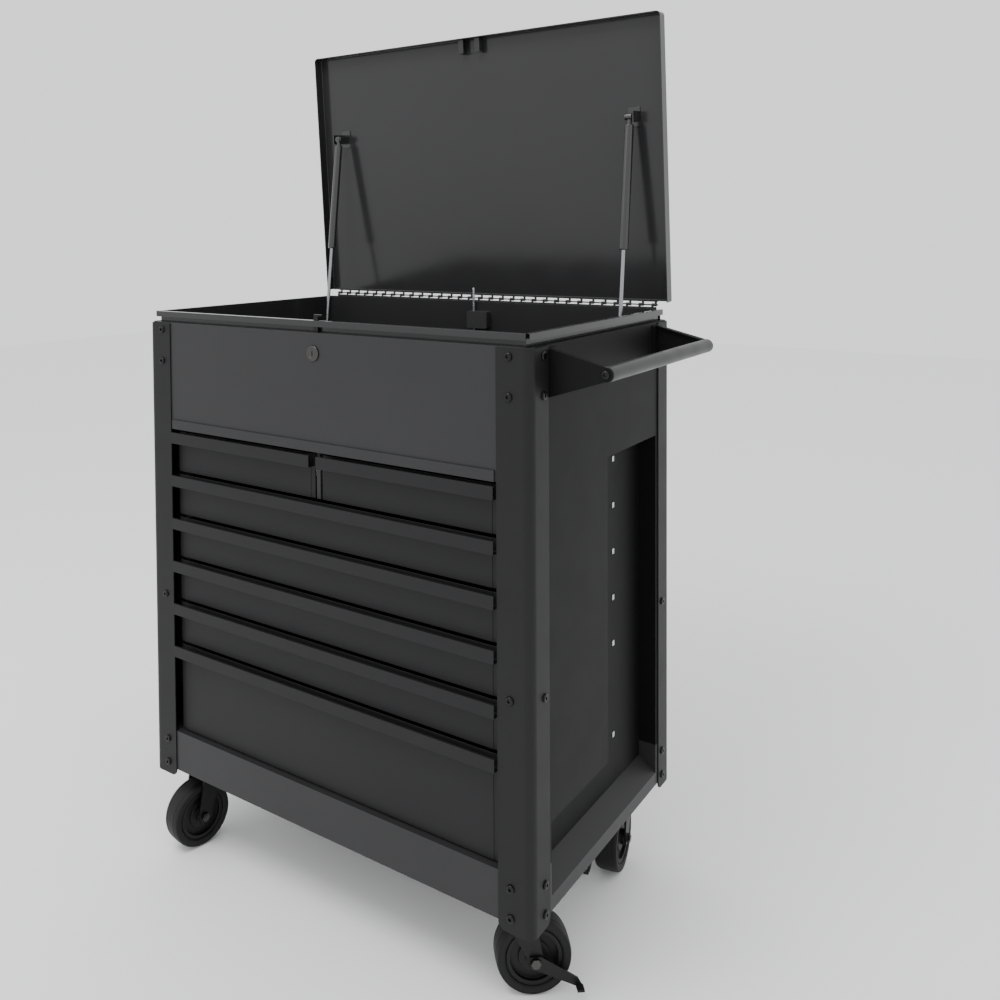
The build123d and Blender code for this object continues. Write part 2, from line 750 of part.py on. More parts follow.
# ---------------------------------------------------------------- side handle
def handle_brackets():
    """Two formed arms that carry the grip out from the right side."""
    def outline(grow):
        return [
            (skin_x, bracket_root_top + grow),
            (skin_x, bracket_root_bottom),
            (grip_x, handle_z - bracket_tip),
            (grip_x, handle_z + bracket_tip + grow),
        ]

    y0, y1 = handle_y - bracket_sheet / 2, handle_y + bracket_sheet / 2
    arm = plate_xz(outline(0), y0, y1) + bar("y", bracket_tip, y0, y1, grip_x, handle_z)
    top = plate_xz(
        [
            (skin_x, bracket_root_top),
            (skin_x, bracket_root_top - bracket_sheet),
            (grip_x - 4, handle_z + bracket_tip - bracket_sheet),
            (grip_x - 4, handle_z + bracket_tip),
        ],
        y0 - 9, y1,
    )
    foot = block(skin_x, skin_x + bracket_sheet, y0 - bracket_flange, y1, bracket_root_bottom,
                 bracket_root_top)
    arm = arm + top + foot - bar("y", screw_hole, y0 - 1, y1 + 1, grip_x, handle_z)
    clear = bar("y", grip_radius + 0.05, y0 - 20, y0, grip_x, handle_z)
    arm -= clear
    return group([arm, mirror(arm, about=Plane.XZ)])


def handle_grip():
    """The round push bar between the arms."""
    end = handle_y - bracket_sheet / 2
    grip = bar("y", grip_radius, -end, end, grip_x, handle_z)
    for sy in (-1, 1):
        grip -= bar("y", screw_hole, sy * (end - screw_reach - 3), sy * (end + 1), grip_x, handle_z)
    return grip


# ---------------------------------------------------------------- casters
def caster_places():
    """Centre of each caster's plate: name, x, y, turn in degrees."""
    x = half_width - caster_inset_x
    y = half_depth - caster_inset_y
    places = []
    for end, sy in (("front", -1), ("rear", 1)):
        for side, sx in (("left", -1), ("right", 1)):
            name = end + "_" + side
            places.append((name, sx * x, sy * y, caster_turns[name]))
    return places


def at_caster(shape, place):
    """Move a shape drawn round the plate centre to its caster."""
    _, x, y, turn = place
    return Pos(x, y, 0) * Rot(0, 0, turn) * shape


def caster_plate():
    """Swivel top plate with its upper race and kingpin."""
    top = base_bottom
    plate = block(-plate_length / 2, plate_length / 2, -plate_width / 2, plate_width / 2,
                  top - plate_sheet, top)
    plate = fillet(plate.edges().filter_by(Axis.Z), 8)
    race = top - plate_sheet - race_height
    plate += bar("z", race_radius, race, top - plate_sheet, 0, 0)
    plate += bar("z", kingpin_radius, race - 20, race + 1, 0, 0)
    return plate + bar("z", kingpin_radius + 4, race - 22, race - 18, 0, 0)


def fork_legs(top):
    """Two tapered legs from the crown down to the axle."""
    z = wheel_radius
    points = [
        (-26, top), (30, top),
        (caster_trail + 13, z + 6), (caster_trail + 9, z - 11),
        (caster_trail - 9, z - 11), (caster_trail - 14, z + 6),
    ]
    return [plate_xz(points, s * fork_gap, s * (fork_gap + fork_sheet)) for s in (-1, 1)]


def axle(front_reach):
    """The axle bolt with its head and nut."""
    z = wheel_radius
    back = fork_gap + fork_sheet
    head = Pos(caster_trail, -front_reach - 4.5, z) * Rot(-90, 0, 0)
    head = head * extrude(RegularPolygon(8.5, 6), 4.5)
    nut = Pos(caster_trail, back, z) * Rot(-90, 0, 0) * extrude(RegularPolygon(8.5, 6), 6.0)
    return bar("y", axle_radius, -front_reach - 1, back + 7, caster_trail, z) + head + nut


def swivel_fork(place):
    """Swivel fork with its lower race, and its axle bolt."""
    outside = fork_gap + fork_sheet
    race_low = base_bottom - plate_sheet - race_height
    crown_top = race_low - 6.0
    body = block(-26, 30, -outside, outside, crown_top - fork_sheet, crown_top)
    body += bar("z", race_radius, crown_top, race_low - 0.4, 0, 0)
    for leg in fork_legs(crown_top):
        body += leg
    body -= bar("y", axle_radius + 0.02, -60, 60, caster_trail, wheel_radius)
    body -= bar("z", kingpin_radius + running_clearance, crown_top - 20, race_low + 5, 0, 0)
    if place[0] in braked:
        outside += 0.5 + pedal_sheet + 0.5
    return group([at_caster(body, place), at_caster(axle(outside), place)])


def wheel(place):
    """The pressed wheel centre with its bearing boss."""
    trail, z = caster_trail, wheel_radius
    half = wheel_width / 2 - 3
    disc = bar("y", rim_radius, -half, half, trail, z)
    for s in (-1, 1):
        disc -= bar("y", rim_radius - 7, s * (half - 7), s * (half + 1), trail, z)
        disc += bar("y", rim_radius - 21, s * (half - 8), s * (half - 3), trail, z)
    disc += bar("y", hub_radius, 0.4 - fork_gap, fork_gap - 0.4, trail, z)
    disc -= bar("y", axle_radius + running_clearance, -60, 60, trail, z)
    return at_caster(disc, place)


def tyre(place):
    """The rubber tread ring."""
    trail, half = caster_trail, wheel_width / 2
    ring = bar("y", wheel_radius, -half, half, trail, wheel_radius)
    ring = fillet(ring.edges(), 6.0)
    ring -= bar("y", rim_radius, -half - 1, half + 1, trail, wheel_radius)
    return at_caster(ring, place)


def brake_pedal(place):
    """The lever on the axle with its toe tab."""
    z = wheel_radius
    inner = -(fork_gap + fork_sheet + 0.5)
    outer = inner - pedal_sheet
    points = [
        (caster_trail - 9, z + 9), (caster_trail + 9, z + 9),
        (caster_trail + 70, z - 30), (caster_trail + 78, z - 44),
        (caster_trail + 68, z - 44), (caster_trail - 9, z - 9),
    ]
    lever = plate_xz(points, outer, inner)
    lever += block(caster_trail + 66, caster_trail + 78, outer - 14, outer, z - 44, z - 40.5)
    lever -= bar("y", axle_radius + running_clearance, -60, 60, caster_trail, z)
    return at_caster(lever, place)


# ---------------------------------------------------------------- all nodes
def all_nodes():
    """Every node of the chest by name."""
    right = side_panel()
    nodes = {
        "side_panel_right": right,
        "side_panel_left": mirrored(right),
        "back_panel": back_panel(),
        "base_pan": base_pan(),
        "front_panel": front_panel(),
        "top_tray": top_tray(),
        "corner_post_front_left": corner_post(-1, -1),
        "corner_post_front_right": corner_post(1, -1),
        "corner_post_rear_left": corner_post(-1, 1),
        "corner_post_rear_right": corner_post(1, 1),
        "body_screws": body_screws(),
        "drawer_divider": drawer_divider(),
        "slide_columns": slide_columns(),
        "slide_outer_members": slide_outer_members(),
        "lid": lid(),
        "hinge_body_leaf": group([hinge_leaf(-1), hinge_pin()]),
        "hinge_lid_leaf": opened(hinge_leaf(1)),
        "lid_catch": lid_catch(),
        "strut_upper_studs": strut_upper_studs(),
        "strut_lower_studs": strut_lower_studs(),
        "strut_cylinder_right": strut_cylinder(1),
        "strut_cylinder_left": strut_cylinder(-1),
        "strut_rod_right": strut_rod(1),
        "strut_rod_left": strut_rod(-1),
        "lock_housing": lock_housing(),
        "lock_plug": lock_plug(),
        "latch_hook": latch_hook(),
        "lock_rod": lock_rod(),
        "lock_rod_guide": lock_rod_guide(),
        "handle_brackets": handle_brackets(),
        "handle_grip": handle_grip(),
    }
    plates = []
    for place in caster_places():
        name = place[0]
        nodes[f"wheel_{name}"] = wheel(place)
        nodes[f"tyre_{name}"] = tyre(place)
        nodes[f"caster_fork_{name}"] = swivel_fork(place)
        plates.append(at_caster(caster_plate(), (name, place[1], place[2], 0)))
        if name in braked:
            nodes[f"brake_pedal_{name}"] = brake_pedal(place)
    nodes["caster_plates"] = group(plates)
    rows = [(0, -1, "drawer_1_left"), (0, 1, "drawer_1_right")]
    rows += [(row, 0, f"drawer_{row + 1}") for row in range(1, thin_rows + 1)]
    for row, half, name in rows:
        nodes[name] = drawer(row, half)
        nodes[name.replace("drawer", "slide_middle")] = slide_middle_members(row, half)
    return nodes


if __name__ == "__main__":
    os.makedirs("parts", exist_ok=True)
    for node_name, shape in all_nodes().items():
        export_step(shape, f"parts/{node_name}.step")
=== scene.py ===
"""Rolling tool chest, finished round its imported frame.

Metres, +Z up, X to the right seen from the front, the front faces -Y. Each class is one
sub-assembly: it holds its sizes, builds its pieces and dresses them.
"""

import json
import logging
import math
from dataclasses import dataclass
from enum import Enum

import bmesh
import bpy
import numpy as np
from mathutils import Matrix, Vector

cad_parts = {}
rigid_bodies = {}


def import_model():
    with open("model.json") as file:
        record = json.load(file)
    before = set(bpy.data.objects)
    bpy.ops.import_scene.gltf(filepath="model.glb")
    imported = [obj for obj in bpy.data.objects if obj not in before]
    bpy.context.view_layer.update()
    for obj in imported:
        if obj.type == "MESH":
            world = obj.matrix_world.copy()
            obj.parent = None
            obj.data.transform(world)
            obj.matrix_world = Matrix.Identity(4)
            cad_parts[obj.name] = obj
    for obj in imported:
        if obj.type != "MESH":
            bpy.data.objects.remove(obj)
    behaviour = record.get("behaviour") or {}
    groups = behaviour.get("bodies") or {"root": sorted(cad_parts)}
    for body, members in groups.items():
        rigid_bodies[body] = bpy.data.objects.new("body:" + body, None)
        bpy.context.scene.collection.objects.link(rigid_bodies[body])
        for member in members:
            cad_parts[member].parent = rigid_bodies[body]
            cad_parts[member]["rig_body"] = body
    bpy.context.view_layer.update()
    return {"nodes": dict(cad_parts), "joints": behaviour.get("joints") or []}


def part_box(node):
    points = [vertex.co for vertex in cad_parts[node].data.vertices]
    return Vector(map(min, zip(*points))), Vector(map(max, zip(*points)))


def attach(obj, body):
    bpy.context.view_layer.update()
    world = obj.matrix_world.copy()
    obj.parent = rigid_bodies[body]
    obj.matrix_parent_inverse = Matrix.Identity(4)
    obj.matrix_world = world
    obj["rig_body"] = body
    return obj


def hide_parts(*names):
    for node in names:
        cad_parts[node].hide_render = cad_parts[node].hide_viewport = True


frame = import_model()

log = logging.getLogger("tool_chest")
MM = 0.001
NOISE_OCTAVES = 2.0
NOISE_FALLOFF = 0.5
NOISE_SPREAD = (0.3, 0.7)  # nearly all of a noise's values lie between these
WELD_GAP_MM = 0.003  # corners nearer than this are one corner
FLAT_DEGREES = 0.4  # triangles that turn less than this are one flat face
CREASE_DEGREES = 32.0  # edges that turn more than this stay sharp
TURNED_CREASE_DEGREES = 40.0  # the same on a turned piece
ROUNDED_DEGREES = 38.0  # edges that turn more than this are rounded over
TURN_STEPS = 96  # sections round a turned piece


# ---------------------------------------------------------------- finishes
class Slot(Enum):
    """The record's material slots."""

    COAT = "powder_coat"
    HANDLE = "handle_satin"
    ZINC = "zinc"
    SCREW = "black_screw"
    STRUT = "strut_tube"
    BRIGHT = "strut_bright"
    LOCK = "lock_metal"
    CASTER = "caster_steel"
    CORE = "wheel_core"
    TYRE = "tyre"


def linear(colour: str) -> tuple[float, float, float, float]:
    """Turn an sRGB hex colour to linear light.

    Args:
        colour: Six hex digits, such as "3c3c3e".

    Returns:
        Red, green, blue and an alpha of one.
    """
    levels = np.array([int(colour[i : i + 2], 16) for i in (0, 2, 4)]) / 255
    light = np.where(levels <= 0.04045, levels / 12.92, ((levels + 0.055) / 1.055) ** 2.4)
    return (*light.tolist(), 1.0)


def add_node(
    tree: bpy.types.NodeTree,
    kind: str,
    settings: dict[str, object] | None = None,
    values: dict[object, object] | None = None,
    links: dict[object, bpy.types.NodeSocket] | None = None,
) -> bpy.types.Node:
    """Add one shader node with its settings, socket values and incoming links.

    Args:
        tree: The material's node tree.
        kind: The node's type name.
        settings: Properties of the node itself.
        values: Default values by input socket name or number.
        links: Sockets to link from, by input socket name or number.

    Returns:
        The new node.
    """
    node = tree.nodes.new(kind)
    for name, value in (settings or {}).items():
        setattr(node, name, value)
    for name, value in (values or {}).items():
        node.inputs[name].default_value = value
    for name, socket in (links or {}).items():
        tree.links.new(socket, node.inputs[name])
    return node


@dataclass(frozen=True)
class Finish:
    """A surface with wandering colour, uneven gloss and a fine relief, on real-mm scales."""

    name: str
    slot: Slot
    colour: str
    roughness: float
    metallic: float = 0.0
    ior: float = 1.5
    coat: float = 0.0
    coat_roughness: float = 0.1
    sheen: float = 0.0
    mottle_mm: float = 180.0  # size of the slow drift in colour
    mottle: float = 0.10  # share by which the colour drifts
    gloss_mm: float = 60.0
    gloss_swing: float = 0.05
    grain_mm: float = 2.4
    grain_depth_mm: float = 0.03
    grain_stretch: tuple[float, float, float] = (1.0, 1.0, 1.0)
    speckle: float = 0.0  # share by which the grain shows in the colour

    def make(self) -> bpy.types.Material:
        """Build the material once and hand the same one back on later calls.

        Returns:
            The material.
        """
        found = bpy.data.materials.get(self.name)
        if found:
            return found
        material = bpy.data.materials.new(self.name)
        material.use_nodes = True
        material.diffuse_color = linear(self.colour)
        tree = material.node_tree
        shader = tree.nodes["Principled BSDF"]
        shader.inputs["Metallic"].default_value = self.metallic
        shader.inputs["IOR"].default_value = self.ior
        shader.inputs["Coat Weight"].default_value = self.coat
        shader.inputs["Coat Roughness"].default_value = self.coat_roughness
        shader.inputs["Sheen Weight"].default_value = self.sheen
        place = add_node(tree, "ShaderNodeTexCoord").outputs["Object"]
        stretched = add_node(
            tree, "ShaderNodeMapping", values={"Scale": self.grain_stretch}, links={"Vector": place}
        )
        drift = self.noise(tree, place, self.mottle_mm)
        gloss = self.noise(tree, place, self.gloss_mm)
        grain = self.noise(tree, stretched.outputs["Vector"], self.grain_mm)
        tree.links.new(self.tint(tree, drift, grain), shader.inputs["Base Color"])
        low, high = self.roughness - self.gloss_swing, self.roughness + self.gloss_swing
        tree.links.new(self.spread(tree, gloss, low, high), shader.inputs["Roughness"])
        relief = add_node(
            tree,
            "ShaderNodeBump",
            values={"Strength": 1.0, "Distance": self.grain_depth_mm * MM},
            links={"Height": grain},
        )
        tree.links.new(relief.outputs["Normal"], shader.inputs["Normal"])
        return material

    def noise(
        self, tree: bpy.types.NodeTree, place: bpy.types.NodeSocket, size_mm: float
    ) -> bpy.types.NodeSocket:
        """Add a noise whose lumps are about size_mm across and return its value."""
        octaves = {"Detail": NOISE_OCTAVES, "Roughness": NOISE_FALLOFF}
        values = {"Scale": 1 / (size_mm * MM), **octaves}
        return add_node(tree, "ShaderNodeTexNoise", None, values, {"Vector": place}).outputs[0]

    def spread(
        self, tree: bpy.types.NodeTree, value: bpy.types.NodeSocket, low: float, high: float
    ) -> bpy.types.NodeSocket:
        """Map the middle of a noise onto low to high and return the result."""
        least, most = NOISE_SPREAD
        ends = {"From Min": least, "From Max": most, "To Min": low, "To Max": high}
        return add_node(tree, "ShaderNodeMapRange", None, ends, {"Value": value}).outputs[0]

    def tint(
        self, tree: bpy.types.NodeTree, drift: bpy.types.NodeSocket, grain: bpy.types.NodeSocket
    ) -> bpy.types.NodeSocket:
        """Scale the finish's colour by one plus its drift and its speckle.

        Args:
            tree: The material's node tree.
            drift: The slow noise.
            grain: The fine noise.

        Returns:
            The colour's socket.
        """
        slow = self.spread(tree, drift, 1 - self.mottle, 1 + self.mottle)
        fine = self.spread(tree, grain, 1 - self.speckle, 1 + self.speckle)
        both = add_node(tree, "ShaderNodeMath", {"operation": "MULTIPLY"}, None, {0: slow, 1: fine})
        base = linear(self.colour)[:3]
        scaled = add_node(
            tree,
            "ShaderNodeVectorMath",
            {"operation": "SCALE"},
            {0: base},
            {"Scale": both.outputs[0]},
        )
        return scaled.outputs[0]


# Epoxy powder baked on sheet steel: an even charcoal, satin, with fine orange peel.
PANEL_COAT = Finish(
    "powder_coated_sheet_steel", Slot.COAT, "2b2b2c", 0.42, ior=1.3, mottle=0.03,
    gloss_swing=0.015, speckle=0.05,
)
# The next four are most likely the same powder coat. Their shades and shines are fitted,
# and no difference in the real coat is known.
# The two sides and the handle's brackets: darker and duller. Their darker colour is painted
# shade: under these lights the sides look near black at their glancing angle.
SHADED_SIDE_COAT = Finish(
    "powder_coated_sheet_steel_painted_shade_sides", Slot.COAT, "0e0e0f", 0.5, ior=1.2, mottle=0.03,
    gloss_swing=0.015, speckle=0.05,
)
# The drawers: a little darker and duller than the panels. Their darker colour is painted shade:
# under light from above, shaded below their lips, the drawer fronts look darker than the panels.
SHADED_DRAWER_COAT = Finish(
    "powder_coated_sheet_steel_painted_shade_drawers", Slot.COAT, "1e1e1f", 0.48, ior=1.27, mottle=0.03,
    gloss_swing=0.015, speckle=0.05,
)
# The posts: darker, with a sandy texture.
POST_COAT = Finish(
    "textured_powder_coated_steel", Slot.COAT, "171718", 0.5, ior=1.3,
    mottle=0.03, gloss_swing=0.02, grain_mm=1.8, grain_depth_mm=0.09, speckle=0.16,
)
# The lid and the tray: glossier.
LID_COAT = Finish(
    "gloss_powder_coated_sheet_steel", Slot.COAT, "272728", 0.16, ior=1.42, mottle=0.03,
    gloss_swing=0.02,
)
# Smooth satin paint on the push bar's tube: a lighter grey with a soft shine.
BAR_PAINT = Finish(
    "satin_painted_steel_tube", Slot.HANDLE, "252526", 0.38, ior=1.35, mottle=0.05,
    grain_depth_mm=0.008,
)
# Zinc plate, dipped and left bright: pale, a little cloudy, with a faint crystal speckle.
BRIGHT_ZINC = Finish(
    "bright_zinc_plated_steel", Slot.ZINC, "c4c6c9", 0.32, metallic=1.0,
    mottle_mm=14, mottle=0.12, grain_mm=1.2, grain_depth_mm=0.01, speckle=0.08,
)
# Heat-blackened and oiled alloy steel: near black with a sharp highlight.
BLACK_OXIDE = Finish(
    "black_oxide_alloy_steel", Slot.SCREW, "060607", 0.3, ior=1.35, grain_mm=0.8,
    grain_depth_mm=0.008,
)
# Baked enamel on drawn steel tube: glossy black.
BLACK_ENAMEL = Finish(
    "black_enamelled_steel_tube", Slot.STRUT, "1d1d1e", 0.22, coat=0.4, grain_depth_mm=0.004
)
# Ground and hard-chromed rod: bright, with hair-fine turns round it.
HARD_CHROME = Finish(
    "hard_chromed_steel_rod", Slot.BRIGHT, "8f9194", 0.24, metallic=1.0, mottle=0.03,
    grain_mm=6.0, grain_stretch=(1.0, 1.0, 12.0), grain_depth_mm=0.003,
)
# Die-cast zinc with dark nickel over it: smooth, grey, metallic.
DARK_NICKEL = Finish(
    "dark_nickel_plated_die_casting", Slot.LOCK, "4c4b4a", 0.28, metallic=1.0, mottle=0.05
)
# Pressed steel dipped in black paint: thin, slightly lumpy, semi-gloss.
FORK_PAINT = Finish(
    "black_painted_pressed_steel", Slot.CASTER, "0a0a0b", 0.42, ior=1.35, grain_mm=4,
    grain_depth_mm=0.05,
)
# Injection-moulded nylon wheel centre: dark and semi-matt with a fine mould texture.
MOULDED_NYLON = Finish(
    "moulded_black_nylon", Slot.CORE, "080809", 0.5, ior=1.35, grain_mm=1.4, grain_depth_mm=0.02
)
# Moulded rubber tread: matt, greyed where it has rolled.
TREAD_RUBBER = Finish(
    "moulded_black_rubber", Slot.TYRE, "0d0d0d", 0.66, ior=1.35, sheen=0.05, mottle_mm=30,
    mottle=0.18, grain_mm=1.6, grain_depth_mm=0.05, speckle=0.1,
)


# ---------------------------------------------------------------- making pieces
def weld(source: bpy.types.Mesh, name: str) -> bpy.types.Mesh:
    """Copy loose triangles as a welded mesh with whole flat faces.

    Args:
        source: The CAD node's mesh.
        name: The copy's name.

    Returns:
        The new mesh, its sharp edges marked.
    """
    shape = bmesh.new()
    shape.from_mesh(source)
    bmesh.ops.remove_doubles(shape, verts=shape.verts, dist=WELD_GAP_MM * MM)
    bmesh.ops.dissolve_limit(
        shape, angle_limit=math.radians(FLAT_DEGREES), verts=shape.verts, edges=shape.edges
    )
    made = bpy.data.meshes.new(name)
    shape.to_mesh(made)
    shape.free()
    made.polygons.foreach_set("use_smooth", np.ones(len(made.polygons), bool))
    made.set_sharp_from_angle(angle=math.radians(CREASE_DEGREES))
    return made


def smaller_solids(mesh: bpy.types.Mesh) -> np.ndarray:
    """Find the faces that belong to any solid of a mesh but its largest.

    Every vertex starts with its own number, and the lowest number spreads along the edges
    until each solid has one. A solid's size is the diagonal of its box.

    Args:
        mesh: A mesh of several closed solids.

    Returns:
        One true or false per face.
    """
    points = np.empty(len(mesh.vertices) * 3, np.float32)
    mesh.vertices.foreach_get("co", points)
    points = points.reshape(-1, 3)
    ends = np.empty(len(mesh.edges) * 2, np.int32)
    mesh.edges.foreach_get("vertices", ends)
    ends = ends.reshape(-1, 2)
    label, before = np.arange(len(points)), None
    while before is None or (label != before).any():
        before = label
        label = label.copy()
        lowest = before[ends].min(axis=1)
        np.minimum.at(label, ends[:, 0], lowest)
        np.minimum.at(label, ends[:, 1], lowest)
        label = label[label]
    solids = np.unique(label)
    spans = [np.ptp(points[label == solid], axis=0) for solid in solids]
    largest = solids[int(np.argmax(np.linalg.norm(spans, axis=1)))]
    corners = np.empty(len(mesh.polygons), np.int32)
    mesh.polygons.foreach_get("loop_start", corners)
    corner_points = np.empty(len(mesh.loops), np.int32)
    mesh.loops.foreach_get("vertex_index", corner_points)
    return label[corner_points[corners]] != largest


def turned(profile: np.ndarray, centre: Vector, axis: Vector, name: str) -> bpy.types.Mesh:
    """Carry a closed profile round an axis.

    A point is the centre, plus its first number along the axis, plus its second number along
    the spoke at each of TURN_STEPS even angles.

    Args:
        profile: Places along the axis and radii, metres, in order round the section.
        centre: A point on the axis.
        axis: The axis, of length one.
        name: The mesh's name.

    Returns:
        A closed ring, its normals outwards.
    """
    turns = np.linspace(0, 2 * np.pi, TURN_STEPS, endpoint=False)
    along = np.array(axis)
    up = np.array((0.0, 0.0, 1.0))
    across = np.cross(along, up)
    spokes = np.outer(np.cos(turns), up) + np.outer(np.sin(turns), across)
    grid = (
        np.array(centre)
        + profile[None, :, :1] * along
        + profile[None, :, 1:] * spokes[:, None, :]
    )
    rows, columns = grid.shape[:2]
    row, column = np.meshgrid(np.arange(rows), np.arange(columns), indexing="ij")
    next_row, next_column = (row + 1) % rows, (column + 1) % columns
    faces = np.stack(
        (
            row * columns + column,
            next_row * columns + column,
            next_row * columns + next_column,
            row * columns + next_column,
        ),
        axis=-1,
    ).reshape(-1, 4)
    mesh = bpy.data.meshes.new(name)
    mesh.from_pydata(grid.reshape(-1, 3).tolist(), [], faces.tolist())
    shape = bmesh.new()
    shape.from_mesh(mesh)
    bmesh.ops.recalc_face_normals(shape, faces=shape.faces)
    shape.to_mesh(mesh)
    shape.free()
    mesh.polygons.foreach_set("use_smooth", np.ones(len(mesh.polygons), bool))
    mesh.set_sharp_from_angle(angle=math.radians(TURNED_CREASE_DEGREES))
    return mesh


@dataclass(frozen=True)
class Assembly:
    """What every sub-assembly shares: it dresses CAD nodes and adds its own pieces."""

    edge_mm: float = 0.35  # how far cut edges are rounded over
    edge_steps: int = 2

    def add(
        self, name: str, mesh: bpy.types.Mesh, finish: Finish, body: str, *nodes: str
    ) -> bpy.types.Object:
        """Put a finished mesh in the scene on a body, in place of CAD nodes if any are named.

        Args:
            name: The piece's name.
            mesh: Its mesh, already in place.
            finish: What it is made of.
            body: The body it moves with.
            nodes: CAD nodes that it stands for.

        Returns:
            The piece.
        """
        piece = bpy.data.objects.new(name, mesh)
        bpy.context.scene.collection.objects.link(piece)
        mesh.materials.clear()
        mesh.materials.append(finish.make())
        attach(piece, body)
        if nodes:
            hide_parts(*nodes)
        log.info("%s: %s on %s", name, finish.name, body)
        return piece

    def dress(
        self, node: str, finish: Finish, edge_mm: float | None = None, small: Finish | None = None
    ) -> bpy.types.Object:
        """Stand a welded copy with rounded edges in for a CAD node.

        Args:
            node: The CAD node.
            finish: What it is made of.
            edge_mm: The edge rounding, if not the assembly's own; 0 leaves the edges as cut.
            small: What the node's smaller solids are made of, if not the same.

        Returns:
            The piece, which rides on the node's body.
        """
        source = frame["nodes"][node]
        mesh = weld(source.data, node + "_shape")
        piece = self.add(node + "_piece", mesh, finish, source["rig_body"], node)
        if small is not None:
            mesh.materials.append(small.make())
            mesh.polygons.foreach_set("material_index", smaller_solids(mesh).astype(np.int32))
        width = self.edge_mm if edge_mm is None else edge_mm
        if width > 0:
            rounded = piece.modifiers.new("rounded edges", "BEVEL")
            rounded.width = width * MM
            rounded.segments = self.edge_steps
            rounded.limit_method = "ANGLE"
            rounded.angle_limit = math.radians(ROUNDED_DEGREES)
            rounded.use_clamp_overlap = True
        shading = piece.modifiers.new("flat faces stay flat", "WEIGHTED_NORMAL")
        shading.keep_sharp = True
        return piece


# ---------------------------------------------------------------- sub-assemblies
@dataclass(frozen=True)
class Cabinet(Assembly):
    """Posts, panels, base, open tray, screws and the push bar."""

    corners: tuple[str, ...] = ("front_left", "front_right", "rear_left", "rear_right")
    panels: tuple[str, ...] = (
        "side_panel_left", "side_panel_right", "back_panel", "base_pan", "front_panel",
        "drawer_divider",
    )
    post_edge_mm: float = 0.8
    tray_edge_mm: float = 0.4
    screw_edge_mm: float = 0.3
    bracket_edge_mm: float = 0.7
    grip_edge_mm: float = 1.0

    def build(self) -> None:
        """Dress every fixed piece of the cabinet."""
        for corner in self.corners:
            self.dress("corner_post_" + corner, POST_COAT, self.post_edge_mm)
        for panel in self.panels:
            self.dress(panel, SHADED_SIDE_COAT if panel.startswith("side") else PANEL_COAT)
        self.dress("top_tray", LID_COAT, self.tray_edge_mm)
        self.dress("body_screws", BLACK_OXIDE, self.screw_edge_mm)
        # The brackets take the sides' coat, and its painted shade with it.
        self.dress("handle_brackets", SHADED_SIDE_COAT, self.bracket_edge_mm)
        self.dress("handle_grip", BAR_PAINT, self.grip_edge_mm)


@dataclass(frozen=True)
class Drawers(Assembly):
    """Seven drawers on ball-bearing slides."""

    names: tuple[str, ...] = ("1_left", "1_right", "2", "3", "4", "5", "6")
    sheet_edge_mm: float = 0.4
    slide_edge_mm: float = 0.3

    def build(self) -> None:
        """Dress the drawers, their slides and the columns that carry them."""
        for name in self.names:
            self.dress("drawer_" + name, SHADED_DRAWER_COAT, self.sheet_edge_mm, small=BRIGHT_ZINC)
            self.dress("slide_middle_" + name, BRIGHT_ZINC, self.slide_edge_mm)
        self.dress("slide_outer_members", BRIGHT_ZINC, self.slide_edge_mm)
        self.dress("slide_columns", PANEL_COAT, self.sheet_edge_mm)


@dataclass(frozen=True)
class Top(Assembly):
    """The lid on its piano hinge, its catch, gas struts and lock."""

    sides: tuple[str, ...] = ("left", "right")
    lid_edge_mm: float = 0.0  # rounding the lid's edges flips two long triangles of its faces
    catch_edge_mm: float = 0.4
    leaf_edge_mm: float = 0.25
    cylinder_edge_mm: float = 0.4
    housing_edge_mm: float = 0.5
    small_edge_mm: float = 0.3  # studs, rods, plug, hook and guide

    def build(self) -> None:
        """Dress the lid and everything that moves with it or holds it."""
        self.dress("lid", LID_COAT, self.lid_edge_mm)
        self.dress("lid_catch", LID_COAT, self.catch_edge_mm)
        for node in ("hinge_body_leaf", "hinge_lid_leaf"):
            self.dress(node, PANEL_COAT, self.leaf_edge_mm)
        for node in ("strut_upper_studs", "strut_lower_studs"):
            self.dress(node, BLACK_ENAMEL, self.small_edge_mm)
        for side in self.sides:
            self.dress("strut_cylinder_" + side, BLACK_ENAMEL, self.cylinder_edge_mm)
            self.dress("strut_rod_" + side, HARD_CHROME, self.small_edge_mm)
        self.dress("lock_housing", DARK_NICKEL, self.housing_edge_mm)
        self.dress("lock_plug", DARK_NICKEL, self.small_edge_mm)
        self.dress("latch_hook", BLACK_OXIDE, self.small_edge_mm)
        self.dress("lock_rod", BRIGHT_ZINC, self.small_edge_mm)
        self.dress("lock_rod_guide", PANEL_COAT, self.small_edge_mm)


